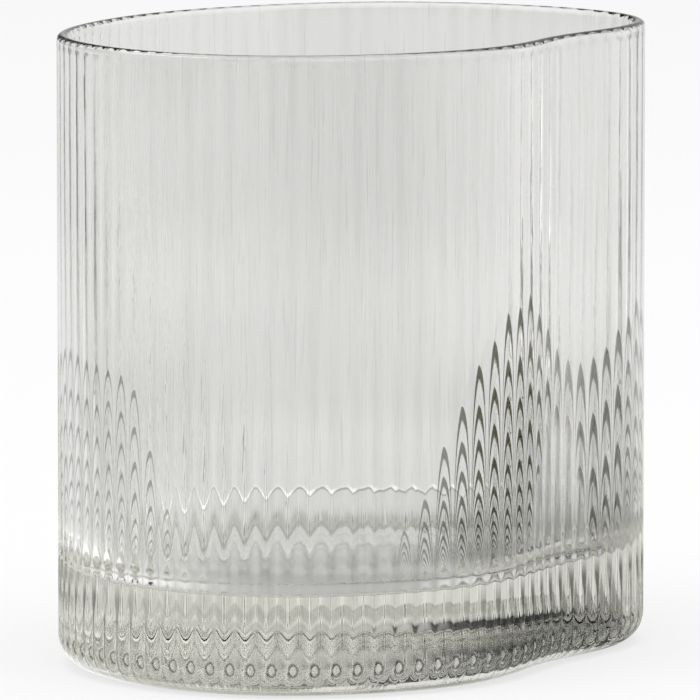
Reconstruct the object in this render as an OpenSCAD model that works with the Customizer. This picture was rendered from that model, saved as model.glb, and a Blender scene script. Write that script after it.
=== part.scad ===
// Reeded tea glass with a freely curved plan: one moulded piece of glass with a
// thick solid base, fine upright reeds outside, a smooth inside and a rounded rim.
// The origin is the middle of the underside, +Z is up and the front looks along -Y.

/* [Body] */
// Width of the glass from side to side
body_w = 84; // [60:1:110]
// Depth of the glass from front to back
body_d = 87.4; // [60:0.1:110]
// Height of the glass
body_h = 90; // [70:1:120]
// Thickness of the wall at the crest of a reed
wall_t = 1.8; // [1.4:0.1:3]
// Thickness of the solid base under the drink
floor_t = 13.8; // [8:0.1:20]
// Radius of the outer edge under the base
foot_r = 4.4; // [2:0.1:6]
// Radius of the inside corner between floor and wall
inner_r = 5.5; // [1:0.1:8]

/* [Outline] */
// How far the plan is drawn out into an oval, as a share of its mean radius
oval_share = 0.13; // [0:0.01:0.16]
// Direction of the long axis of that oval, in degrees from +X
oval_turn = 54; // [0:1:180]
// How strong the three to six fold waves are that dent the front right side
dent_shares = [0.032, 0.018, 0.012, 0.009]; // [0:0.001:0.04]

/* [Reeds] */
// Number of reeds round the glass
reed_count = 84; // [60:1:96]
// Depth of a groove under the crests, at its foot
reed_depth = 0.6; // [0.1:0.01:0.8]
// Depth that is left at the rim, as a share of the depth at the foot
rim_depth_share = 0.17; // [0:0.01:1]
// Where the first reed stands from the start of the outline, in reeds
reed_start = 0.55; // [0:0.01:1]
// How far the reeds drift from even spacing round the glass, in reeds
reed_drift = 0.9; // [0:0.1:2]
// Direction in which that drift begins, in degrees from +X
drift_turn = 25.5; // [0:0.5:180]
// Height of the smooth band under the grooves
foot_band = 2.7; // [1.5:0.1:6]
// Height of the smooth band above the grooves
rim_band = 1.4; // [1:0.1:5]

/* [Hidden] */
glass_color = [0.78, 0.80, 0.77, 0.5];

// How far a cut runs past the face that it opens
overrun = 1;
// Points at which the plan is sampled before it is divided into equal steps
samples = 720;
// Places across one reed, from one crest to the next, at which columns stand
column_shares = [0, 0.25, 0.5, 0.75];
columns = len(column_shares);
// Steps round a quarter of each rounded edge
foot_steps = 5;
rim_steps = 3;
inner_steps = 4;
// Steps down the rounded end of a groove
end_shares = [0.75, 0.45, 0.2];
// Places up the wall at which rings follow the grooves as they fade
fade_shares = [0.15, 0.35, 0.6];

// Outline before it is sized: an oval with waves of three to six folds
function unit_r(a) = 1 + oval_share * cos(2 * (a - oval_turn))
    + dent_shares[0] * sin(3 * a) + dent_shares[1] * sin(4 * a)
    + dent_shares[2] * sin(5 * a) + dent_shares[3] * sin(6 * a);
function unit_point(a) = unit_r(a) * [cos(a), sin(a)];

unit_points = [for (i = [0:samples - 1]) unit_point(360 * i / samples)];
unit_xs = [for (p = unit_points) p.x];
unit_ys = [for (p = unit_points) p.y];
unit_low = [min(unit_xs), min(unit_ys)];
unit_high = [max(unit_xs), max(unit_ys)];
unit_middle = (unit_low + unit_high) / 2;
unit_size = unit_high - unit_low;

// Outline at its real size, centred on the origin
function plan_point(a) = [
    (unit_point(a).x - unit_middle.x) * body_w / unit_size.x,
    (unit_point(a).y - unit_middle.y) * body_d / unit_size.y
];

// Length walked along the outline up to each sample, and the angle for a length
function walk(i = 0, total = 0, out = []) = i > samples ? out
    : let (
        step = i == 0 ? 0 : norm(plan_point(360 * i / samples) - plan_point(360 * (i - 1) / samples)),
        length = total + step
    ) walk(i + 1, length, concat(out, [[length, 360 * i / samples]]));
angle_at = walk();
plan_length = angle_at[samples][0];
reed_pitch = plan_length / reed_count;

// Place and outward direction of the outline at a number of reeds from its start
function drifted(t) = t + reed_start + reed_drift * sin(360 * t / reed_count - drift_turn);
function reed_angle(t) = let (place = drifted(t) / reed_count)
    lookup((place - floor(place)) * plan_length, angle_at);
function plan_normal(a) = let (
    turn = 180 / samples,
    along = plan_point(a + turn) - plan_point(a - turn)
) [along.y, -along.x] / norm(along);

coarse_t = [for (j = [0:reed_count - 1]) j];
fine_t = [for (j = [0:reed_count - 1]) for (s = column_shares) j + s];
function places(ts) = [for (t = ts) let (a = reed_angle(t)) [plan_point(a), plan_normal(a)]];
coarse = places(coarse_t);
fine = places(fine_t);

// Height at which a groove ends in half a round bowl at its foot and under the rim
half_pitch = reed_pitch / 2;
hollow_w = half_pitch / 2;
groove_low = foot_band + hollow_w;
groove_high = body_h - rim_band - hollow_w;

// Depth of the grooves at a height: they fade with the square of the way to the rim
function depth_at(z) = let (left = (groove_high - z) / (groove_high - groove_low))
    reed_depth * (rim_depth_share + (1 - rim_depth_share) * pow(max(0, min(1, left)), 2));

// How deep the surface lies below the crests, as a share, at a distance from the middle
// of a groove: a hollow arc and the round of the crest meet half way between them
function groove_share(r) = r < hollow_w ? 1 - 2 * pow(r / half_pitch, 2)
    : r < half_pitch ? 2 * pow(1 - r / half_pitch, 2)
    : 0;
function reed_drop(t, z) = let (
    side = abs(t - floor(t) - 0.5) * reed_pitch,
    past = max(groove_low - z, z - groove_high, 0)
) depth_at(z) * groove_share(norm([side, past]));

// One ring of the surface: lies inset behind the outline at height z, and the
// grooves are sunk into it square to a surface that leans by tilt
function smooth_ring(inset, z) = [for (p = coarse) let (q = p[0] - inset * p[1]) [q.x, q.y, z]];
function reeded_ring(inset, z, tilt) = [
    for (i = [0:len(fine) - 1]) let (
        drop = reed_drop(fine_t[i], z),
        q = fine[i][0] - (inset + drop * cos(tilt)) * fine[i][1]
    ) [q.x, q.y, z + drop * sin(tilt)]
];

// Rounded edge under the base, as rings at a lean below the horizontal
function foot_inset(lean) = foot_r * (1 - cos(lean));
function foot_z(lean) = foot_r * (1 - sin(lean));
function foot_lean(z) = z >= foot_r ? 0 : asin(1 - z / foot_r);

// Rounded rim: half a circle from the outer wall to the inner wall
rim_r = wall_t / 2;
function rim_ring(lean) = smooth_ring(rim_r * (1 - cos(lean)), body_h - rim_r * (1 - sin(lean)));

// Rounded corner between the inner wall and the floor
function inner_ring(lean) = smooth_ring(wall_t + inner_r * (1 - cos(lean)), floor_t + inner_r * (1 - sin(lean)));

// The foot leans back until the grooves have faded out on it
fade_z = groove_low - half_pitch;
fade_lean = foot_lean(fade_z);
low_lean = foot_lean(groove_low);
foot_rings = [
    for (i = [0:foot_steps - 1]) let (lean = 90 + (fade_lean - 90) * i / (foot_steps - 1))
        smooth_ring(foot_inset(lean), foot_z(lean))
];
low_zs = concat([for (s = end_shares) groove_low - s * half_pitch], [groove_low], groove_low < foot_r ? [foot_r] : []);
low_rings = [
    for (z = low_zs) let (lean = foot_lean(z)) reeded_ring(foot_inset(lean), z, lean)
];
wall_zs = [for (s = fade_shares) groove_low + s * (groove_high - groove_low)];
high_zs = concat(wall_zs, [groove_high, groove_high + hollow_w]);
high_rings = [for (z = high_zs) reeded_ring(0, z, 0)];
rim_rings = [for (i = [0:2 * rim_steps]) rim_ring(90 * i / rim_steps)];
inner_rings = [for (i = [0:inner_steps]) inner_ring(90 * i / inner_steps)];

// Rings in order from the underside, over the rim and down to the floor
ground_ring = smooth_ring(foot_r, -overrun);
surface_rings = concat([ground_ring], foot_rings, low_rings, high_rings, rim_rings, inner_rings);
surface_points = concat([for (ring = surface_rings) each ring], [[0, 0, -overrun], [0, 0, floor_t]]);

// Number of the first point of each ring
function starts(i = 0, total = 0, out = []) = i == len(surface_rings) ? out
    : starts(i + 1, total + len(surface_rings[i]), concat(out, [total]));
ring_starts = starts();
under_point = len(surface_points) - 2;
floor_point = len(surface_points) - 1;

// Triangles between two rings with as many points, or with a column for each reed
// on the one and a column for each share on the other
function even_strip(a, b, n) = [
    for (j = [0:n - 1]) let (k = (j + 1) % n) each [[a + j, b + j, b + k], [a + j, b + k, a + k]]
];
half_columns = floor(columns / 2);
function opening_strip(a, b, n) = [
    for (j = [0:n - 1]) let (k = (j + 1) % n) each concat(
        [for (c = [0:columns - 1]) [c < half_columns ? a + j : a + k, b + j * columns + c,
            b + (j * columns + c + 1) % (n * columns)]],
        [[a + j, b + j * columns + half_columns, a + k]]
    )
];
function closing_strip(a, b, n) = [
    for (j = [0:n - 1]) let (k = (j + 1) % n) each concat(
        [for (c = [0:columns - 1]) [a + j * columns + c, c < half_columns ? b + j : b + k,
            a + (j * columns + c + 1) % (n * columns)]],
        [[a + j * columns + half_columns, b + j, b + k]]
    )
];
function strip(i) = let (
    a = ring_starts[i],
    b = ring_starts[i + 1],
    n = len(surface_rings[i]),
    m = len(surface_rings[i + 1])
) n == m ? even_strip(a, b, n) : n < m ? opening_strip(a, b, n) : closing_strip(a, b, m);
last_start = ring_starts[len(surface_rings) - 1];
surface_faces = concat(
    [for (j = [0:reed_count - 1]) [under_point, j, (j + 1) % reed_count]],
    [for (i = [0:len(surface_rings) - 2]) each strip(i)],
    [for (j = [0:reed_count - 1]) [last_start + j, floor_point, last_start + (j + 1) % reed_count]]
);

// The moulded glass, with its underside ground flat
module glass_body() {
    color(glass_color)
        difference() {
            polyhedron(points = surface_points, faces = surface_faces, convexity = 4);
            translate([-body_w, -body_d, -2 * overrun])
                cube([2 * body_w, 2 * body_d, 2 * overrun]);
        }
}

glass_body();
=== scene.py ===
"""Reeded tea glass: one moulded piece of clear glass on a pale studio table.

The glass is one closed surface. Its section, a list of places across the wall, is carried round a freely
curved plan, and the grooves between the reeds are sunk into it. Every size comes from the frame's box or is a
named value here, in metres where nothing else is said.
"""
import functools
import logging
import math
from dataclasses import dataclass, field

import bpy
import numpy as np
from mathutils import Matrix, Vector


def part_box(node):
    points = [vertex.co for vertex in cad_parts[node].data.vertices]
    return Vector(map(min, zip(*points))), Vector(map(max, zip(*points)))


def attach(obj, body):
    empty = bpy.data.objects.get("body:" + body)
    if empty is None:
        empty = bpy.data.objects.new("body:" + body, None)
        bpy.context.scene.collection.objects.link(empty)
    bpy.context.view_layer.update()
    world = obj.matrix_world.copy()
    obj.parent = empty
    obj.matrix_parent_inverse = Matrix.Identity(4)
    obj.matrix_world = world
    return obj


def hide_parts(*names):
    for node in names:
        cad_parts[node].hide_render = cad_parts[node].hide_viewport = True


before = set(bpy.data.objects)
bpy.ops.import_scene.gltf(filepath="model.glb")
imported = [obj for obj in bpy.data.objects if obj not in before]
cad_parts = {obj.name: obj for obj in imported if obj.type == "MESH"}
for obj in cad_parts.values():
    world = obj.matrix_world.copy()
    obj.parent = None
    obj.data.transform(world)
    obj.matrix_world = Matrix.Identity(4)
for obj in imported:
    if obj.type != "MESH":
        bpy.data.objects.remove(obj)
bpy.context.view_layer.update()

log = logging.getLogger("tea_glass")
MM = 0.001
REED_MAP = "reeds"
WHITE = (1, 1, 1, 1)


def ring_quads(rings: int, columns: int) -> np.ndarray:
    """Faces between each ring of a grid and the next, whose points are numbered ring by ring.

    Args:
        rings: number of rings.
        columns: number of points in a ring.

    Returns:
        An array with the four points of each face.
    """
    first = np.arange(columns)
    after = (first + 1) % columns
    base = (np.arange(rings - 1) * columns)[:, None]
    corners = [base + first, base + after, base + columns + after, base + columns + first]
    return np.stack(corners, axis=-1).reshape(-1, 4)


def fan(start: int, columns: int, pole: int, looks_up: bool) -> np.ndarray:
    """Triangles between a ring, whose points run anticlockwise seen from above, and a pole in its middle.

    Args:
        start: number of the ring's first point.
        columns: number of points in the ring.
        pole: number of the pole's point.
        looks_up: whether the triangles face up, and not down.

    Returns:
        An array with the three points of each face.
    """
    first = np.arange(columns)
    after = (first + 1) % columns
    edge = (first, after) if looks_up else (after, first)
    return np.stack([start + edge[0], start + edge[1], np.full(columns, pole)], axis=-1)


def set_attribute(mesh: bpy.types.Mesh, name: str, values: np.ndarray) -> None:
    """Put a value on each point of a mesh, for its material to read."""
    mesh.attributes.new(name, "FLOAT", "POINT").data.foreach_set("value", values.astype(np.float32))


def add_object(name: str, data: bpy.types.ID) -> bpy.types.Object:
    """Put a mesh, a light or a camera into the scene.

    Args:
        name: name of the new object.
        data: what it shows.

    Returns:
        The new object, at the origin.
    """
    made = bpy.data.objects.new(name, data)
    bpy.context.scene.collection.objects.link(made)
    return made


@dataclass(frozen=True)
class Plan:
    """The freely curved outline of the glass, seen from above.

    In polar form its radius is one plus a two-fold wave that makes it oval, and sine waves of three to six
    folds that dent its front right side. It is then sized to the box.
    """

    width: float
    depth: float
    oval_share: float = 0.13
    oval_turn: float = math.radians(54)
    dent_shares: tuple[float, ...] = (0.032, 0.018, 0.012, 0.009)
    samples: int = 2880

    def unit(self, angle: np.ndarray) -> np.ndarray:
        """Points of the outline before it is sized.

        Args:
            angle: directions from the pole, in radians.

        Returns:
            An array of x, y pairs.
        """
        radius = 1 + self.oval_share * np.cos(2 * (angle - self.oval_turn))
        for fold, share in enumerate(self.dent_shares, start=3):
            radius = radius + share * np.sin(fold * angle)
        return np.stack([radius * np.cos(angle), radius * np.sin(angle)], axis=-1)

    def point(self, angle: np.ndarray) -> np.ndarray:
        """Points of the outline at its real size, with the middle of its box at the origin.

        Args:
            angle: directions from the pole, in radians.

        Returns:
            An array of x, y pairs.
        """
        around = self.unit(np.linspace(0, 2 * np.pi, self.samples, endpoint=False))
        low, high = around.min(axis=0), around.max(axis=0)
        size = np.array([self.width, self.depth])
        return (self.unit(angle) - (low + high) / 2) * size / (high - low)

    def normal(self, angle: np.ndarray) -> np.ndarray:
        """Unit vectors that point out of the outline, square to it.

        Args:
            angle: directions from the pole, in radians.

        Returns:
            An array of x, y pairs.
        """
        turn = np.pi / self.samples
        along = self.point(angle + turn) - self.point(angle - turn)
        out = np.stack([along[:, 1], -along[:, 0]], axis=-1)
        return out / np.linalg.norm(out, axis=1, keepdims=True)

    def walk(self) -> tuple[np.ndarray, np.ndarray]:
        """A walk once round the outline, in small steps.

        Returns:
            Lengths walked so far, and the angles at which they are reached.
        """
        angle = np.linspace(0, 2 * np.pi, self.samples + 1)
        steps = np.linalg.norm(np.diff(self.point(angle), axis=0), axis=1)
        return np.concatenate([[0.0], np.cumsum(steps)]), angle


@dataclass(frozen=True)
class Reeds:
    """Upright reeds with hollow grooves between them, which fade towards the rim.

    The places are counted in reeds. The first stands a part of a reed past the start of the outline, and the
    rest drift a little from even spacing. The grooves run from low to high, and end in half a round bowl.
    """

    count: int = 84
    depth: float = 0.6 * MM
    rim_share: float = 0.17
    start: float = 0.55
    drift: float = 0.9
    drift_turn: float = math.radians(25.5)
    low: float = 3.5 * MM
    high: float = 87.8 * MM

    def place(self, share: np.ndarray) -> np.ndarray:
        """How far round the outline each count of reeds lies, from nought to one."""
        drift = self.drift * np.sin(2 * np.pi * share / self.count - self.drift_turn)
        return (share + self.start + drift) / self.count % 1

    def deep(self, height: np.ndarray) -> np.ndarray:
        """Depth of the grooves at a height, which falls with the square of the way up to the rim."""
        left = np.clip((self.high - height) / (self.high - self.low), 0, 1)
        return self.depth * (self.rim_share + (1 - self.rim_share) * left**2)

    def drop(self, side: np.ndarray, height: np.ndarray, pitch: float) -> np.ndarray:
        """How deep the surface lies below the crests of the reeds.

        A hollow arc and the round of the crest meet half way between the two, with the same slope. Past the
        end of a groove the distance to the end counts too, so that the groove ends in half a round bowl.

        Args:
            side: distance to the nearest groove's middle, along the outline.
            height: heights of the rings.
            pitch: distance from groove to groove.

        Returns:
            The drop at each place.
        """
        past = np.maximum(np.maximum(self.low - height, height - self.high), 0)
        far = np.clip(np.hypot(side, past) / (pitch / 2), 0, 1)
        return self.deep(height) * np.where(far < 0.5, 1 - 2 * far**2, 2 * (1 - far) ** 2)


@dataclass(frozen=True)
class RippleAndShadeKnots:
    """Where rippled arches lie on the reeds, in relief and in painted shade: nested pointed arches, low on
    both sides of the glass.

    Each knot gives a count of reeds, the height of the highest arch there, how far the arches reach below it,
    both in millimetres, and how strong they are. Between knots these run straight.
    """

    # Knots of arches that are both a ripple relief and painted shade.
    knots: tuple[tuple[float, float, float, float], ...] = (
        (40, 0, 0, 0), (42, 40, 22, 0.7), (45, 44, 25, 0.7), (48, 47, 28, 0.75), (51, 46, 28, 0.8),
        (54, 45, 30, 0.8), (55, 36, 20, 0.8), (56, 29, 14, 0.7), (57, 23, 8, 0.6), (60, 17, 0, 0.3),
        (66, 17, 0, 0.5), (68.4, 26, 12, 0.8), (69.7, 35, 20, 0.9), (71.7, 45.5, 32, 1), (73.7, 52.6, 38, 1),
        (75.7, 54.6, 38, 1), (77.7, 49.1, 17, 0.9), (79.7, 43.6, 12, 0.7), (81.7, 43.2, 30, 0.9),
        (83.7, 46.7, 32, 0.9), (86, 51, 34, 0.7), (89, 40, 20, 0.4), (91, 0, 0, 0),
    )

    def at(self, share: np.ndarray, count: int) -> dict[str, np.ndarray]:
        """The top, the foot and the strength of the rippled arches and their painted shade.

        Args:
            share: places round the glass, in reeds.
            count: number of reeds, after which the knots come round again.

        Returns:
            A value at each place, under the name of the attribute that it goes to.
        """
        reeds, top, reach, strength = np.array(self.knots).T
        drawn = (np.interp(share, reeds, value, period=count) for value in (top, reach, strength))
        top, reach, strength = drawn
        return {"ripple_and_shade_top": top * MM, "ripple_and_shade_foot": (top - reach) * MM, "ripple_and_shade_strength": strength}


@dataclass(frozen=True)
class Section:
    """A list of places across the wall: how far in, how high, and how the surface leans below the horizontal.

    A surface that leans by flat_lean or more, either way, is a flat, the top of the rim or the inside.
    """

    inset: np.ndarray
    height: np.ndarray
    lean: np.ndarray
    flat_lean: float = math.pi / 2 - 0.01

    def outside(self) -> np.ndarray:
        """Which places look outwards, on the foot, the outer wall and the outer half of the rim."""
        return np.abs(self.lean) < self.flat_lean


@dataclass
class TeaGlass:
    """The moulded glass with its solid base, reeded wall, smooth inside and rounded rim."""

    node: str = "glass_body"
    body: str = "root"
    slot: str = "clear_glass"
    wall: float = 1.8 * MM
    floor: float = 13.8 * MM
    foot_radius: float = 4.4 * MM
    inner_radius: float = 5.5 * MM
    guard: float = 0.4 * MM
    reeds: Reeds = field(default_factory=Reeds)
    ripples_and_shade: RippleAndShadeKnots = field(default_factory=RippleAndShadeKnots)
    columns_per_reed: int = 12
    foot_rings: int = 18
    wall_rings: int = 20
    end_rings: int = 6
    rim_rings: int = 13
    inner_rings: int = 13

    def __post_init__(self) -> None:
        """Take the outer sizes from the CAD node's box."""
        low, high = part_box(self.node)
        self.height = high.z - low.z
        self.plan = Plan(width=high.x - low.x, depth=high.y - low.y)

    def section(self) -> Section:
        """The section from the underside, over the rim, to the floor.

        Each flat run begins and ends with a guard ring just past its rounded neighbour, so that the smooth
        shading of the round doesn't tilt the flat.

        Returns:
            Rings of the underside, foot, outer wall, rim, inner wall, corner and floor, in that order.
        """
        reeds, guard, rim = self.reeds, self.guard, self.wall / 2
        edge, corner_top = self.height - rim, self.floor + self.inner_radius
        quarter = np.linspace(np.pi / 2, 0, self.foot_rings)
        wall_up = np.concatenate([
            [self.foot_radius + guard],
            np.linspace(self.foot_radius + 3 * guard, reeds.high - 2 * guard, self.wall_rings),
            np.linspace(reeds.high, edge - guard / 2, self.end_rings),
        ])
        half = np.linspace(0, np.pi, self.rim_rings)
        wall_down = np.array([edge - guard, edge - 3 * guard, corner_top + 3 * guard, corner_top + guard])
        corner = np.linspace(0, np.pi / 2, self.inner_rings)
        runs = (
            ([self.foot_radius + guard], [0.0], [np.pi / 2]),
            (self.foot_radius * (1 - np.cos(quarter)), self.foot_radius * (1 - np.sin(quarter)), quarter),
            (np.zeros_like(wall_up), wall_up, np.zeros_like(wall_up)),
            (rim * (1 - np.cos(half)), self.height - rim * (1 - np.sin(half)), -half),
            (np.full_like(wall_down, self.wall), wall_down, np.full_like(wall_down, np.pi)),
            (
                self.wall + self.inner_radius * (1 - np.cos(corner)),
                self.floor + self.inner_radius * (1 - np.sin(corner)),
                np.full_like(corner, np.pi),
            ),
            ([self.wall + self.inner_radius + guard], [self.floor], [np.pi]),
        )
        inset, height, lean = (np.concatenate(column) for column in zip(*runs))
        return Section(inset, height, lean)

    def shares(self) -> np.ndarray:
        """The place of each column round the glass, in reeds."""
        return np.arange(self.reeds.count * self.columns_per_reed) / self.columns_per_reed

    def surface(self, section: Section) -> np.ndarray:
        """The grid of points: each ring of the section at each column round the plan.

        A point is the outline's point, moved in along the outline's normal by the inset, and sunk by the
        groove's drop square to the leaning surface.

        Args:
            section: the places across the wall.

        Returns:
            The points, as rings by columns by three.
        """
        share = self.shares()
        lengths, angles = self.plan.walk()
        pitch = lengths[-1] / self.reeds.count
        angle = np.interp(self.reeds.place(share) * lengths[-1], lengths, angles)
        point, normal = self.plan.point(angle), self.plan.normal(angle)
        side = np.abs(share % 1 - 0.5) * pitch
        height = section.height[:, None]
        drop = np.where(section.outside()[:, None], self.reeds.drop(side[None, :], height, pitch), 0)
        inward = section.inset[:, None] + drop * np.cos(section.lean)[:, None]
        rings = np.empty((len(section.height), len(share), 3))
        rings[..., :2] = point[None] - inward[..., None] * normal[None]
        rings[..., 2] = height + drop * np.sin(section.lean)[:, None]
        return rings

    def mesh(self) -> bpy.types.Mesh:
        """The closed mesh of the glass: quads between the rings, and a fan at the middle of each flat.

        Returns:
            The new mesh, with smooth faces that point outwards.
        """
        section = self.section()
        rings = self.surface(section)
        count, columns = rings.shape[:2]
        points = np.concatenate([rings.reshape(-1, 3), [[0.0, 0.0, 0.0], [0.0, 0.0, self.floor]]])
        under = fan(0, columns, count * columns, looks_up=False)
        inside = fan((count - 1) * columns, columns, count * columns + 1, looks_up=True)
        mesh = bpy.data.meshes.new("tea_glass")
        faces = ring_quads(count, columns).tolist() + under.tolist() + inside.tolist()
        mesh.from_pydata(points.tolist(), [], faces)
        mesh.polygons.foreach_set("use_smooth", np.ones(len(mesh.polygons), dtype=bool))
        self.chart(mesh, section)
        mesh.update()
        return mesh

    def chart(self, mesh: bpy.types.Mesh, section: Section) -> None:
        """Lay a map and attributes on the mesh, for the finish to follow.

        The map's first axis counts reeds and the second is height in metres. At the last quad of each ring
        the count goes on to the full number and not back to nought. The first attribute is one on the outside
        and nought elsewhere, and the rest are the top, foot and strength of the rippled arches and their
        painted shade.

        Args:
            mesh: the closed mesh.
            section: the places across the wall that it was made from.
        """
        share = self.shares()
        count, columns = len(section.height), len(share)
        corners = np.empty(len(mesh.loops), dtype=np.int64)
        mesh.loops.foreach_get("vertex_index", corners)
        places = np.empty(len(mesh.vertices) * 3)
        mesh.vertices.foreach_get("co", places)
        turn = (corners % columns).astype(float)
        closing = np.arange(1, count) * columns - 1
        turn[(closing[:, None] * 4 + np.array([1, 2])).ravel()] = columns
        chart = np.stack([turn / self.columns_per_reed, places[corners * 3 + 2]], axis=-1)
        mesh.uv_layers.new(name=REED_MAP).data.foreach_set("uv", chart.ravel().astype(np.float32))
        values = {"outside": np.repeat(section.outside().astype(float), columns)}
        for name, value in self.ripples_and_shade.at(share, self.reeds.count).items():
            values[name] = np.tile(value, count)
        for name, value in values.items():
            set_attribute(mesh, name, np.append(value, [0.0, 0.0]))

    def build(self, material: bpy.types.Material) -> bpy.types.Object:
        """Make the glass, dress it and let it stand for the CAD node.

        Args:
            material: the finish of the whole glass.

        Returns:
            The finished piece.
        """
        piece = add_object("tea_glass", self.mesh())
        piece.data.materials.append(material)
        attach(piece, self.body)
        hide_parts(self.node)
        return piece


class Sums:
    """Short names for the nodes and sums that a material or a world is made of."""

    def __init__(self, made: bpy.types.ID) -> None:
        """Clear the nodes of a new material or world, and keep them at hand.

        Args:
            made: the material or world.
        """
        made.use_nodes = True
        self.nodes, self.links = made.node_tree.nodes, made.node_tree.links
        self.nodes.clear()

    def join(self, value: object, socket: bpy.types.NodeSocket) -> None:
        """Link a socket to another, or set a plain value on it.

        Args:
            value: the other socket or the plain value.
            socket: the socket that takes it.
        """
        if isinstance(value, bpy.types.NodeSocket):
            self.links.new(value, socket)
        else:
            socket.default_value = value

    def node(self, kind: str, inputs: dict[str | int, object], **settings: object) -> bpy.types.Node:
        """A new node.

        Args:
            kind: Blender's name for the kind of node.
            inputs: a socket or a plain value for some of its inputs, by name or by number.
            settings: the node's own settings.

        Returns:
            The node.
        """
        node = self.nodes.new(kind)
        for name, value in settings.items():
            setattr(node, name, value)
        for name, value in inputs.items():
            self.join(value, node.inputs[name])
        return node

    def sum(self, operation: str, *values: object) -> bpy.types.NodeSocket:
        """The result of one Math node.

        Args:
            operation: the node's operation.
            values: sockets or plain numbers, in the order of its inputs.

        Returns:
            The socket with the result.
        """
        return self.node("ShaderNodeMath", dict(enumerate(values)), operation=operation).outputs[0]

    def times(self, *values: object) -> bpy.types.NodeSocket:
        """All the values multiplied, from left to right."""
        return functools.reduce(lambda left, right: self.sum("MULTIPLY", left, right), values)

    def most(self, *values: object) -> bpy.types.NodeSocket:
        """The largest of the values."""
        return functools.reduce(lambda left, right: self.sum("MAXIMUM", left, right), values)

    def less(self, value: object, taken: object) -> bpy.types.NodeSocket:
        """The first value less the second."""
        return self.sum("SUBTRACT", value, taken)

    def scaled(self, value: object, scale: object, added: object) -> bpy.types.NodeSocket:
        """The value times a scale, with a third value added."""
        return self.sum("MULTIPLY_ADD", value, scale, added)

    def step(self, value: object, ends: tuple[float, float]) -> bpy.types.NodeSocket:
        """A smooth change from nought to one, which may run upwards or downwards.

        Args:
            value: the socket that it follows.
            ends: the values at which it is nought and one.

        Returns:
            The socket with the result.
        """
        inputs = {"Value": value, "From Min": ends[0], "From Max": ends[1]}
        return self.node("ShaderNodeMapRange", inputs, interpolation_type="SMOOTHSTEP").outputs["Result"]

    def attribute(self, name: str) -> bpy.types.NodeSocket:
        """The value of a mesh attribute."""
        return self.node("ShaderNodeAttribute", {}, attribute_name=name).outputs["Fac"]

    def noise(self, across: object, up: object, detail: float) -> bpy.types.NodeSocket:
        """Noise from nought to one over two coordinates, in grains of about one.

        Args:
            across: the first coordinate.
            up: the second coordinate.
            detail: how many finer layers the noise has.

        Returns:
            The socket with the noise.
        """
        place = self.node("ShaderNodeCombineXYZ", {0: across, 1: up})
        inputs = {"Vector": place.outputs[0], "Scale": 1.0, "Detail": detail}
        return self.node("ShaderNodeTexNoise", inputs, noise_dimensions="2D").outputs["Fac"]

    def seen(self) -> bpy.types.NodeSocket:
        """One where a ray comes from the camera, through glass or off a gloss, and nought elsewhere."""
        path = self.node("ShaderNodeLightPath", {}).outputs
        return self.most(path["Is Camera Ray"], path["Is Glossy Ray"], path["Is Transmission Ray"])

    def background(self, strength: float) -> bpy.types.NodeSocket:
        """A plain white surround of one strength."""
        return self.node("ShaderNodeBackground", {"Strength": strength, "Color": WHITE}).outputs[0]

    def blend(self, share: object, first: object, second: object) -> bpy.types.NodeSocket:
        """The first shader where the share is nought and the second where it is one.

        Args:
            share: the socket that tells them apart.
            first: a shader's socket.
            second: a shader's socket.

        Returns:
            The socket with the blended shader.
        """
        return self.node("ShaderNodeMixShader", {0: share, 1: first, 2: second}).outputs[0]


@dataclass(frozen=True)
class Cloud:
    """Grains of noise on the glass: how many to a reed and to a metre of height, and their finer layers."""

    per_reed: float
    per_metre: float
    detail: float = 1.0


class GlassSums(Sums):
    """The sums of the glass's finish, with the sockets that say where on the glass a place lies."""

    def __init__(self, made: bpy.types.Material) -> None:
        """Clear the nodes and read the map: the count of reeds, the height and what is outside.

        Args:
            made: the glass's material.
        """
        super().__init__(made)
        chart = self.node("ShaderNodeUVMap", {}, uv_map=REED_MAP)
        split = self.node("ShaderNodeSeparateXYZ", {0: chart.outputs[0]})
        self.count, self.height = split.outputs[0], split.outputs[1]
        self.outside = self.attribute("outside")

    def across(self, count: object) -> bpy.types.NodeSocket:
        """Place across a groove, in reeds: nought in its middle, and minus or plus a half on the crests."""
        return self.less(self.sum("FRACT", count), 0.5)

    def side(self, count: object) -> bpy.types.NodeSocket:
        """Distance from the middle of a groove, in reeds."""
        return self.sum("ABSOLUTE", self.across(count))

    def cloud(self, cloud: Cloud, count: object) -> bpy.types.NodeSocket:
        """Noise from nought to one over the glass.

        Args:
            cloud: the size and detail of its grains.
            count: place round the glass, in reeds.

        Returns:
            The socket with the noise.
        """
        across, up = self.times(count, cloud.per_reed), self.times(self.height, cloud.per_metre)
        return self.noise(across, up, cloud.detail)


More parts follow.
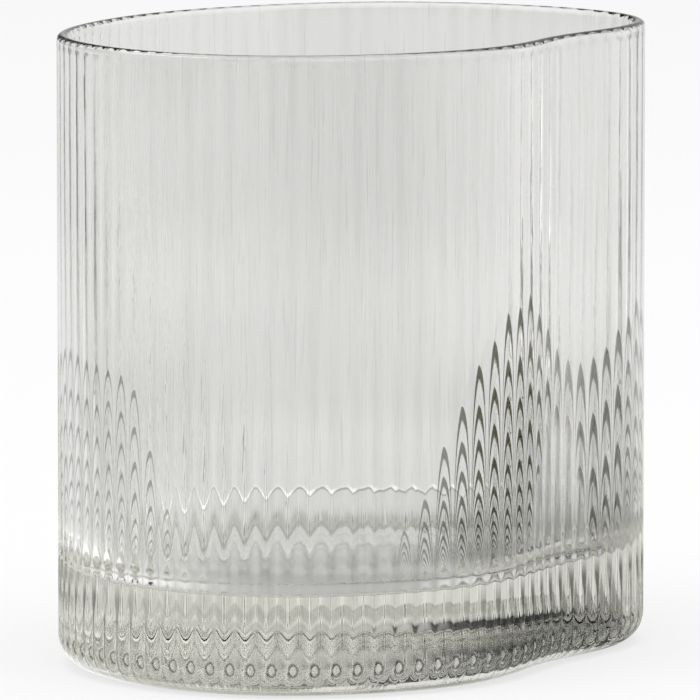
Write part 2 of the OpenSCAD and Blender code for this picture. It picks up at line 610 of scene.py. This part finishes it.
@dataclass(frozen=True)
class Arches:
    """Nested pointed arches on the reeds, as dark lines of painted shade that also raise a ripple relief, and
    that follow the knots.

    On each reed the height is lifted by two powers of the distance from the groove, so that a level line
    becomes a pointed arch with legs. A saw-tooth wave down from the top, whose beats gather towards the base,
    makes the nested lines. Ends are given as counts of reeds, as heights or as shares of a wave.
    """

    front_counts: tuple[float, float] = (56.0, 68.0)
    seam_counts: tuple[float, float] = (5.0, 4.0)
    flank_shift: float = 0.2
    point_rise: float = 22.0 * MM
    point_power: float = 1.45
    leg_rise: float = 500.0 * MM
    leg_power: float = 5.0
    wander: float = 4.0 * MM
    wander_cloud: Cloud = Cloud(1.7, 60.0)
    base: float = 17.2 * MM
    least_over: float = 0.7 * MM
    rate: float = 95.0
    gather: tuple[float, float] = (0.6, 2.2)
    gather_counts: tuple[float, float] = (79.0, 76.0)
    left_share: float = 0.56
    dark_from: tuple[float, float] = (0.0, 0.06)
    dark_to: tuple[float, float] = (0.50, 0.36)
    top_ends: tuple[float, float] = (0.0, 0.2 * MM)
    foot_ends: tuple[float, float] = (0.0, 6.0 * MM)
    floor_ends: tuple[float, float] = (15.0 * MM, 17.0 * MM)

    def flank(self, sums: GlassSums) -> bpy.types.NodeSocket:
        """Minus one on the left flank and one on the right, which runs past the start of the outline.

        Args:
            sums: the material's sums.

        Returns:
            The socket with the result.
        """
        front = sums.times(sums.less(sums.step(sums.count, self.front_counts), 0.5), 2.0)
        seam = sums.less(sums.times(sums.step(sums.count, self.seam_counts), 2.0), 1.0)
        return sums.most(front, seam)

    def level(self, sums: GlassSums, shifted: bpy.types.NodeSocket) -> bpy.types.NodeSocket:
        """The lifted and slightly uneven height, of which each arch is a level line.

        Args:
            sums: the material's sums.
            shifted: the count of reeds, shifted to where the arches stand.

        Returns:
            The socket with the level, in metres.
        """
        side = sums.side(shifted)
        leg = sums.times(sums.sum("POWER", side, self.leg_power), self.leg_rise)
        lift = sums.scaled(sums.sum("POWER", side, self.point_power), self.point_rise, leg)
        wander = sums.cloud(self.wander_cloud, sums.sum("FLOOR", shifted))
        return sums.scaled(sums.less(wander, 0.5), self.wander, sums.sum("ADD", sums.height, lift))

    def nested(self, sums: GlassSums, top: object, level: object) -> bpy.types.NodeSocket:
        """Beats that gather towards the base, by the logarithm of the height that is left above it.

        Args:
            sums: the material's sums.
            top: height of the highest arch.
            level: the lifted height.

        Returns:
            The socket with the number of beats.
        """
        over = sums.most(sums.less(level, self.base), self.least_over)
        whole = sums.most(sums.less(top, self.base), self.least_over)
        low, high = self.gather
        gather = sums.scaled(sums.step(sums.count, self.gather_counts), high - low, low)
        return sums.times(sums.sum("LOGARITHM", sums.sum("DIVIDE", whole, over), math.e), gather)

    def dark(self, sums: GlassSums) -> bpy.types.NodeSocket:
        """How dark each place is in the painted shade, which also sets how high the ripple relief rises.

        Args:
            sums: the material's sums.

        Returns:
            One in the line of an arch and nought between arches.
        """
        flank = self.flank(sums)
        shifted = sums.less(sums.count, sums.times(flank, self.flank_shift))
        top, level = sums.attribute("ripple_and_shade_top"), self.level(sums, shifted)
        below = sums.less(top, level)
        wave = sums.sum("FRACT", sums.scaled(below, self.rate, self.nested(sums, top, level)))
        share = sums.scaled(flank, (1 - self.left_share) / 2, (1 + self.left_share) / 2)
        wave = sums.sum("DIVIDE", wave, share)
        line = sums.times(sums.step(wave, self.dark_from), sums.step(wave, self.dark_to))
        inside = sums.times(sums.step(below, self.top_ends), sums.outside)
        left = sums.less(sums.height, sums.attribute("ripple_and_shade_foot"))
        lasting = sums.times(sums.step(left, self.foot_ends), sums.step(sums.height, self.floor_ends))
        return sums.times(line, inside, sums.times(lasting, sums.attribute("ripple_and_shade_strength")))


@dataclass(frozen=True)
class ReedLineShade:
    """Painted shade: thin dark upright lines between the reeds, low on both flanks, which taper downwards."""

    # Darkness of the painted shade lines.
    tone: float = 0.95
    middle_share: float = 0.15
    side_ends: tuple[float, float] = (0.28, 0.34)
    taper: float = 0.14
    taper_ends: tuple[float, float] = (13.0 * MM, 8.0 * MM)
    left_counts: tuple[float, float] = (59.0, 51.0)
    right_counts: tuple[float, float] = (67.0, 75.0)
    top_ends: tuple[float, float] = (16.0 * MM, 12.0 * MM)
    gap_cloud: Cloud = Cloud(1.3, 110.0)
    gap_ends: tuple[float, float] = (0.2, 0.4)

    def dark(self, sums: GlassSums) -> bpy.types.NodeSocket:
        """How dark each place is.

        Args:
            sums: the material's sums.

        Returns:
            The tone in a line of painted shade and nought between lines.
        """
        taper = sums.times(sums.step(sums.height, self.taper_ends), self.taper)
        line = sums.step(sums.less(sums.side(sums.count), taper), self.side_ends)
        left, right = (sums.step(sums.count, ends) for ends in (self.left_counts, self.right_counts))
        flank = sums.most(left, right, self.middle_share)
        uneven = sums.step(sums.cloud(self.gap_cloud, sums.count), self.gap_ends)
        low = sums.times(sums.step(sums.height, self.top_ends), uneven)
        return sums.times(line, sums.outside, flank, sums.times(low, self.tone))


@dataclass(frozen=True)
class HeelReflection:
    """Painted reflection of the dark side of the room, which darkens the foot at the front right in upright
    spikes.
    """

    # Darkness of the painted reflection.
    tone: float = 0.7
    counts: tuple[float, float] = (69.0, 74.0)
    top: float = 7.5 * MM
    spike: float = 5.0 * MM
    top_soft: float = 0.6 * MM
    foot_ends: tuple[float, float] = (2.4 * MM, 3.6 * MM)

    def dark(self, sums: GlassSums) -> bpy.types.NodeSocket:
        """How dark each place is, with a spike over each groove that rises by the square of its nearness.

        Args:
            sums: the material's sums.

        Returns:
            The tone in the patch and nought elsewhere.
        """
        near = sums.less(1.0, sums.times(sums.side(sums.count), 2.0))
        top = sums.scaled(sums.times(near, near), self.spike, self.top)
        below = sums.step(sums.less(top, sums.height), (0.0, self.top_soft))
        along = sums.times(sums.step(sums.count, self.counts), sums.step(sums.height, self.foot_ends))
        return sums.times(below, along, sums.outside, self.tone)


@dataclass(frozen=True)
class Dimples:
    """The round ends of the grooves at the foot: a dimple in the relief with a tilted bright spot, and a ring
    of painted shade round it.

    Ends are given as squares of the distance from the middle of the dimple, as a share of its half size.
    """

    height: float = 4.0 * MM
    half_height: float = 1.3 * MM
    half_reeds: float = 0.3
    rise: float = -0.22 * MM
    hollow_ends: tuple[float, float] = (1.0, 0.0)
    spot_tilt: float = -0.95
    spot_ends: tuple[float, float] = (0.30, 0.20)
    # Darkness of the painted shade ring round each dimple.
    ring_shade_tone: float = 0.85
    ring_from: tuple[float, float] = (0.2, 0.35)
    ring_to: tuple[float, float] = (0.8, 0.45)

    def far(self, sums: GlassSums) -> bpy.types.NodeSocket:
        """Square of the distance from the middle of the nearest dimple, which is one at its edge.

        Args:
            sums: the material's sums.

        Returns:
            The socket with the square.
        """
        across = sums.sum("DIVIDE", sums.across(sums.count), self.half_reeds)
        high = sums.sum("DIVIDE", sums.less(sums.height, self.height), self.half_height)
        return sums.scaled(across, across, sums.times(high, high))

    def relief(self, sums: GlassSums, far: object, rise: object) -> bpy.types.NodeSocket:
        """Sink the dimples into a relief, and tilt the spot in their middle.

        Args:
            sums: the material's sums.
            far: what the method of that name gives.
            rise: the relief so far, in metres.

        Returns:
            The socket with the new relief.
        """
        rise = sums.scaled(sums.times(sums.step(far, self.hollow_ends), sums.outside), self.rise, rise)
        tilt = sums.times(sums.less(sums.height, self.height), self.spot_tilt)
        return sums.scaled(sums.times(sums.step(far, self.spot_ends), sums.outside), tilt, rise)

    def dark(self, sums: GlassSums, far: object) -> bpy.types.NodeSocket:
        """How dark each place is in the rings of painted shade."""
        ring = sums.times(sums.step(far, self.ring_from), sums.step(far, self.ring_to), sums.outside)
        return sums.times(ring, self.ring_shade_tone)


@dataclass(frozen=True)
class GlassFinish:
    """Clear moulded glass, faintly grey-green, with a ripple relief on its reeds, faint streaks down its
    wall, and painted shade and reflection in its colour.
    """

    tint: tuple[float, float, float] = (0.90, 0.90, 0.89)
    # Colour of the painted shade and reflection.
    painted_shade_tint: tuple[float, float, float] = (0.022, 0.022, 0.010)
    index: float = 1.5
    depth_tint: tuple[float, float, float] = (0.89, 0.89, 0.68)
    density: float = 4.2
    ripple_rise: float = 0.05 * MM
    streak_rise: float = 0.012 * MM
    streak_cloud: Cloud = Cloud(2.6, 55.0, 3.0)
    # Painted shade across the reeds.
    painted_crest_shade: float = 0.12
    crest_cloud: Cloud = Cloud(0.6, 25.0, 2.0)
    crest_ends: tuple[float, float] = (0.2, 0.75)
    sliver_tone: float = 0.12
    sliver_cloud: Cloud = Cloud(7.0, 70.0)
    sliver_ends: tuple[float, float] = (0.66, 0.70)
    arches: Arches = Arches()
    reed_line_shade: ReedLineShade = ReedLineShade()
    heel_reflection: HeelReflection = HeelReflection()
    dimples: Dimples = Dimples()

    def shade(self, sums: GlassSums) -> bpy.types.NodeSocket:
        """The faint painted shade of the crests between the grooves, patchy down the wall, and scattered
        darker slivers.

        The crests follow half of one less the cosine of the count.

        Args:
            sums: the material's sums.

        Returns:
            The socket with the shade.
        """
        sliver = sums.step(sums.cloud(self.sliver_cloud, sums.count), self.sliver_ends)
        sliver = sums.times(sliver, sums.outside)
        crest = sums.scaled(sums.sum("COSINE", sums.times(sums.count, 2 * math.pi)), -0.5, 0.5)
        patchy = sums.step(sums.cloud(self.crest_cloud, sums.count), self.crest_ends)
        crest = sums.times(crest, patchy, sums.outside)
        return sums.scaled(crest, self.painted_crest_shade, sums.times(sliver, self.sliver_tone))

    def material(self) -> bpy.types.Material:
        """The glass as a node material.

        Returns:
            A material with a transmissive surface and an absorbing volume.
        """
        made = bpy.data.materials.new("clear_glass")
        sums = GlassSums(made)
        arches, far = self.arches.dark(sums), self.dimples.far(sums)
        streak = sums.times(sums.cloud(self.streak_cloud, sums.count), self.streak_rise)
        rise = self.dimples.relief(sums, far, sums.scaled(arches, self.ripple_rise, streak))
        # Painted shade and reflection: arch lines, dimple rings, lines between the reeds and the dark foot at
        # the front right.
        lines = sums.most(arches, self.dimples.dark(sums, far), self.reed_line_shade.dark(sums), self.heel_reflection.dark(sums))
        clear = sums.times(sums.less(1.0, self.shade(sums)), sums.less(1.0, lines))
        tints = {"Factor": clear, "A": (*self.painted_shade_tint, 1), "B": (*self.tint, 1)}
        bump = sums.node("ShaderNodeBump", {"Distance": 1.0, "Height": rise})
        shader = sums.node("ShaderNodeBsdfPrincipled", {
            "Base Color": sums.node("ShaderNodeMix", tints, data_type="RGBA").outputs["Result"],
            "Normal": bump.outputs[0],
            "Roughness": 0.0,
            "IOR": self.index,
            "Transmission Weight": 1.0,
        })
        depth = {"Color": (*self.depth_tint, 1), "Density": self.density}
        sums.node("ShaderNodeOutputMaterial", {
            "Surface": shader.outputs["BSDF"],
            "Volume": sums.node("ShaderNodeVolumeAbsorption", depth).outputs["Volume"],
        })
        return made


@dataclass(frozen=True)
class Card:
    """A patch of the surroundings with one tone and soft edges, as a card or a flag gives it, or a painted
    shadow or glow.

    Directions are in degrees from +X towards +Y. Steps count outwards: 0 to 1 along the table, from the glass
    to its far edge, and 1 to 2 up the wall of the tent, from the table to overhead.
    """

    name: str
    middle: float
    half: float
    start: float
    end: float
    tone: float
    soft: float = 8.0
    soft_step: float = 0.04

    def cover(self, turn: np.ndarray, step: np.ndarray) -> np.ndarray:
        """How much of the tone lies over each place.

        Args:
            turn: directions of the places, in degrees.
            step: steps of the places.

        Returns:
            Nought outside the card and one inside, with a smooth change over its soft edges.
        """
        off = np.abs((turn - self.middle + 180) % 360 - 180)
        across = np.clip((self.half + self.soft / 2 - off) / self.soft, 0, 1)
        along = np.clip((step - self.start) / self.soft_step + 0.5, 0, 1)
        along = along * np.clip((self.end - step) / self.soft_step + 0.5, 0, 1)
        blend = across * along
        return blend * blend * (3 - 2 * blend)


@dataclass(frozen=True)
class TentCloth:
    """Cloth that glows with the tone laid on each point of its mesh, and lights nothing."""

    attribute: str = "tone"

    def material(self) -> bpy.types.Material:
        """The cloth as a node material.

        Returns:
            A material that only glows.
        """
        made = bpy.data.materials.new("tent_cloth")
        made.cycles.emission_sampling = "NONE"
        sums = Sums(made)
        glow = sums.node("ShaderNodeEmission", {"Color": WHITE, "Strength": sums.attribute(self.attribute)})
        sums.node("ShaderNodeOutputMaterial", {"Surface": glow.outputs[0]})
        return made


@dataclass(frozen=True)
class Tent:
    """The surroundings that only glass and gloss show: a light tent round the table, with cards, flags and a
    painted shadow of the glass with its bright rim.

    Its radius grows from near to far by the same factor at each step, and then its wall rises as a quarter of
    a circle.
    """

    near: float = 0.02
    far: float = 6.0
    lift: float = -0.04 * MM
    turns: int = 240
    steps: int = 240
    base: float = 0.85
    cloth: TentCloth = TentCloth()
    cards: tuple[Card, ...] = (
        Card("backdrop", 90, 60, 0.80, 2.1, 0.62, 20, 0.3),
        Card("backdrop_low", 95, 16, 0.45, 1.00, 0.80, 10),
        Card("rear_table", 90, 50, 0.37, 0.58, 0.89, 20, 0.06),
        Card("rear_near", 90, 60, 0.345, 0.46, 0.97, 20, 0.04),
        # The next four cards are a painted shadow of the glass on the table behind it, with a dark edge and a
        # bright caustic rim.
        Card("rear_shade", 90, 70, 0.00, 0.32, 0.90, 30, 0.02),
        Card("rear_shade_edge", 90, 60, 0.312, 0.328, 0.45, 30, 0.01),
        Card("rear_glow", 75, 35, 0.33, 0.35, 1.10, 20, 0.01),
        Card("rear_glow_left", 125, 24, 0.325, 0.365, 1.60, 20, 0.01),
        Card("front_near", 258, 42, 0.00, 0.26, 0.56, 20, 0.04),
        Card("left_table", 200, 34, 0.12, 0.50, 1.45, 30, 0.16),
        Card("left_far_table", 200, 60, 0.45, 1.00, 1.05, 20, 0.1),
        Card("left_far_dark", 198, 26, 0.68, 1.00, 0.40, 12, 0.06),
        Card("front_table", 275, 45, 0.20, 0.48, 0.45, 30, 0.1),
        Card("right_dark", 350, 30, 0.09, 0.52, 0.10, 24, 0.06),
        Card("right_back_dark", 35, 14, 0.12, 0.45, 0.35, 10, 0.08),
        Card("right_panel", 5, 38, 0.52, 1.62, 1.4, 14, 0.08),
        Card("back_flag", 130, 34, 0.98, 1.45, 0.05, 10, 0.04),
        Card("left_wall", 190, 24, 0.98, 2.1, 0.50, 20, 0.1),
        Card("front_left_flag", 232, 24, 0.98, 2.1, 0.20, 16, 0.1),
        Card("front_wall", 290, 34, 0.98, 1.15, 0.25, 16, 0.1),
        Card("front_panel", 290, 34, 1.15, 1.75, 0.85, 20, 0.1),
    )

    def places(self) -> tuple[np.ndarray, np.ndarray]:
        """The grid of points of the tent.

        Returns:
            The points, as rings by turns by three, and the step of each ring.
        """
        step = np.linspace(0, 2, self.steps)
        out = np.clip(step, 0, 1)
        up = np.clip(step - 1, 0, 1) * np.pi / 2
        radius = self.near * (self.far / self.near) ** out
        turn = np.linspace(0, 2 * np.pi, self.turns, endpoint=False)
        points = np.empty((self.steps, self.turns, 3))
        points[..., 0] = (radius * np.cos(up))[:, None] * np.cos(turn)
        points[..., 1] = (radius * np.cos(up))[:, None] * np.sin(turn)
        points[..., 2] = (radius * np.sin(up))[:, None] + self.lift
        return points, step

    def tones(self, step: np.ndarray) -> np.ndarray:
        """The tone at each point, with each card laid over the ones before it.

        Args:
            step: the step of each ring.

        Returns:
            The tones, as rings by turns.
        """
        turn = np.arange(self.turns)[None, :] * 360 / self.turns
        tone = np.full((len(step), self.turns), self.base)
        for card in self.cards:
            cover = card.cover(turn, step[:, None])
            tone = tone + cover * (card.tone - tone)
        return tone

    def mesh(self) -> bpy.types.Mesh:
        """The tent's mesh with its tones: a grid of quads, and a fan at its middle under the glass.

        Returns:
            The new mesh.
        """
        points, step = self.places()
        corners = points.reshape(-1, 3).tolist() + [[0.0, 0.0, self.lift]]
        middle = fan(0, self.turns, self.steps * self.turns, looks_up=False)
        mesh = bpy.data.meshes.new("light_tent")
        mesh.from_pydata(corners, [], ring_quads(self.steps, self.turns).tolist() + middle.tolist())
        tone = self.tones(step)
        set_attribute(mesh, self.cloth.attribute, np.append(tone.ravel(), tone[0].mean()))
        mesh.update()
        return mesh

    def build(self) -> bpy.types.Object:
        """Make the tent and hide it from all rays but those through glass and off a gloss.

        Returns:
            The tent.
        """
        mesh = self.mesh()
        mesh.materials.append(self.cloth.material())
        tent = add_object("light_tent", mesh)
        tent.visible_camera = False
        tent.visible_diffuse = False
        tent.visible_shadow = False
        tent.visible_volume_scatter = False
        return tent


@dataclass(frozen=True)
class TablePaint:
    """Pale paint, lifted towards white where it is seen and not where it only passes light on."""

    grey: float = 0.85
    glow_share: float = 0.7

    def material(self) -> bpy.types.Material:
        """The paint as a node material.

        Returns:
            A material that blends a matt grey with a white glow.
        """
        made = bpy.data.materials.new("table_paint")
        sums = Sums(made)
        paint = sums.node("ShaderNodeBsdfDiffuse", {"Color": (self.grey, self.grey, self.grey, 1)})
        glow = sums.node("ShaderNodeEmission", {"Color": WHITE})
        share = sums.times(sums.seen(), self.glow_share)
        surface = sums.blend(share, paint.outputs[0], glow.outputs[0])
        sums.node("ShaderNodeOutputMaterial", {"Surface": surface})
        return made


@dataclass(frozen=True)
class Lamp:
    """A square soft light that shines at the origin, and that no gloss or glass shows."""

    name: str
    place: tuple[float, float, float]
    size: float
    power: float

    def build(self) -> None:
        """Hang the lamp in the scene."""
        light = bpy.data.lights.new(self.name, "AREA")
        light.size = self.size
        light.energy = self.power
        lamp = add_object(self.name, light)
        lamp.location = self.place
        lamp.rotation_mode = "QUATERNION"
        lamp.rotation_quaternion = (-Vector(self.place)).to_track_quat("-Z", "Y")
        lamp.visible_glossy = False
        lamp.visible_transmission = False


@dataclass(frozen=True)
class PhotoCamera:
    """A long lens, tilted down a little, that frames the glass as the photograph does.

    It stands off from the pole of the plan at half the glass's height, and its aim is moved from there by a
    few pixels of the picture.
    """

    pole: tuple[float, float, float] = (-1.359 * MM, 0.814 * MM, 45 * MM)
    away: float = 1.4908
    tilt: float = math.radians(6.891)
    picture_pixels: int = 700
    pixel: float = 0.14288 * MM
    right_pixels: float = 6.58
    down_pixels: float = 8.87
    sensor: float = 36.0
    near: float = 0.05
    far: float = 40.0

    def build(self) -> None:
        """Set up the camera and look through it."""
        back = Vector((0, -math.cos(self.tilt), math.sin(self.tilt)))
        up = Vector((0, math.sin(self.tilt), math.cos(self.tilt)))
        pole = Vector(self.pole)
        data = bpy.data.cameras.new("photo_camera")
        data.sensor_width = self.sensor
        data.lens = self.sensor * self.away / (self.picture_pixels * self.pixel)
        data.clip_start = self.near
        data.clip_end = self.far
        camera = add_object("photo_camera", data)
        camera.location = pole + self.away * back
        aim = pole + Vector((self.right_pixels * self.pixel, 0, 0)) - self.down_pixels * self.pixel * up
        camera.rotation_mode = "QUATERNION"
        camera.rotation_quaternion = (aim - camera.location).to_track_quat("-Z", "Y")
        bpy.context.scene.camera = camera


@dataclass(frozen=True)
class Studio:
    """The pale table, the surround, a wide soft light overhead and a weaker one from the left."""

    table_size: float = 12.0
    table_height: float = -0.05 * MM
    seen_strength: float = 1.0
    sky_strength: float = 0.7
    paint: TablePaint = TablePaint()
    lamps: tuple[Lamp, ...] = (
        Lamp("overhead", (0.0, -0.3, 1.6), size=1.4, power=14.0),
        Lamp("left_fill", (-1.4, -0.8, 0.9), size=1.0, power=5.0),
    )

    def world(self) -> None:
        """A white surround for the camera, for glass and for reflections, and a weaker one as light."""
        world = bpy.data.worlds.new("studio")
        bpy.context.scene.world = world
        sums = Sums(world)
        sky, white = sums.background(self.sky_strength), sums.background(self.seen_strength)
        sums.node("ShaderNodeOutputWorld", {"Surface": sums.blend(sums.seen(), sky, white)})

    def table(self) -> bpy.types.Object:
        """A wide pale table top, just under the underside of the glass.

        Returns:
            The table top.
        """
        half, level = self.table_size / 2, self.table_height
        mesh = bpy.data.meshes.new("table_top")
        corners = [(-half, -half, level), (half, -half, level), (half, half, level), (-half, half, level)]
        mesh.from_pydata(corners, [], [(0, 1, 2, 3)])
        mesh.materials.append(self.paint.material())
        top = add_object("table_top", mesh)
        return top

    def build(self) -> None:
        """Make the surround, the table and the lamps."""
        self.world()
        self.table()
        for lamp in self.lamps:
            lamp.build()


@dataclass(frozen=True)
class View:
    """How light is traced through the glass, and how the picture turns it into colour."""

    transform: str = "Standard"
    bounces: int = 24
    gloss_bounces: int = 12

    def set(self) -> None:
        """Set the scene up for it."""
        scene = bpy.context.scene
        scene.view_settings.view_transform = self.transform
        scene.cycles.max_bounces = self.bounces
        scene.cycles.transmission_bounces = self.bounces
        scene.cycles.glossy_bounces = self.gloss_bounces


def main() -> None:
    """Build the studio and the glass, and report each piece."""
    logging.basicConfig(level=logging.INFO, format="%(name)s: %(message)s")
    View().set()
    PhotoCamera().build()
    Studio().build()
    Tent().build()
    piece = TeaGlass().build(GlassFinish().material())
    log.info("%s: %d points, %d faces", piece.name, len(piece.data.vertices), len(piece.data.polygons))


if __name__ == "__main__":
    main()
